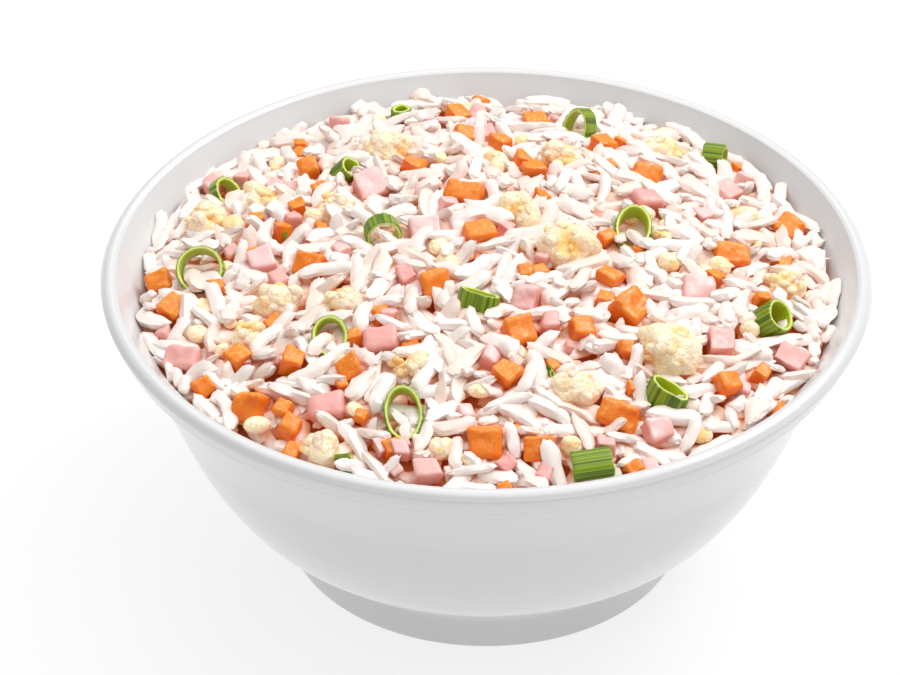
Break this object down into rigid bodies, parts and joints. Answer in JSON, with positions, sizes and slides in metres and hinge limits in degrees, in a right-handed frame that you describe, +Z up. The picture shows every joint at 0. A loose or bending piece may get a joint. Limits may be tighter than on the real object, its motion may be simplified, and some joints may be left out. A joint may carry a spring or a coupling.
{
  "type": "bowl of fried rice",
  "caption": "White porcelain bowl with a rolled lip and a foot ring, heaped with fried rice, diced carrot and ham, scrambled egg and sliced spring onion.",
  "frame": {"origin": "middle of the foot ring's underside, on the surface that the bowl stands on", "axes": "+Z up along the bowl's axis; the picture looks along +Y from the -Y side; +X to the right"},
  "size_m": [0.2, 0.2, 0.0979],
  "materials": {
    "porcelain": "glossy white glaze",
    "rice": "cooked long grain rice, white with a warm cast, moist",
    "spring_onion": "fresh green leaf, ribbed, semi-gloss",
    "egg": "pale yellow scrambled egg, crumbly",
    "carrot": "orange cut carrot, moist",
    "ham": "pink cooked ham, cut faces"
  },
  "bodies": {
    "root": {"bowl": "porcelain", "rice": "rice", "onion_01": "spring_onion", "onion_02": "spring_onion", "onion_03": "spring_onion", "onion_04": "spring_onion", "onion_05": "spring_onion", "onion_06": "spring_onion", "onion_07": "spring_onion", "onion_08": "spring_onion", "onion_09": "spring_onion", "onion_10": "spring_onion", "onion_11": "spring_onion", "onion_12": "spring_onion", "onion_13": "spring_onion", "onion_14": "spring_onion", "egg_01": "egg", "egg_02": "egg", "egg_03": "egg", "egg_04": "egg", "egg_05": "egg", "egg_06": "egg", "egg_07": "egg", "egg_08": "egg", "egg_09": "egg", "egg_10": "egg", "egg_11": "egg", "egg_12": "egg", "egg_13": "egg", "egg_14": "egg", "egg_15": "egg", "egg_16": "egg", "carrot_01": "carrot", "carrot_02": "carrot", "carrot_03": "carrot", "carrot_04": "carrot", "carrot_05": "carrot", "carrot_06": "carrot", "carrot_07": "carrot", "carrot_08": "carrot", "carrot_09": "carrot", "carrot_10": "carrot", "carrot_11": "carrot", "carrot_12": "carrot", "carrot_13": "carrot", "carrot_14": "carrot", "carrot_15": "carrot", "carrot_16": "carrot", "ham_01": "ham", "ham_02": "ham", "ham_03": "ham", "ham_04": "ham", "ham_05": "ham", "ham_06": "ham", "ham_07": "ham", "ham_08": "ham", "ham_09": "ham", "ham_10": "ham", "ham_11": "ham", "ham_12": "ham"}
  },
  "joints": []
}
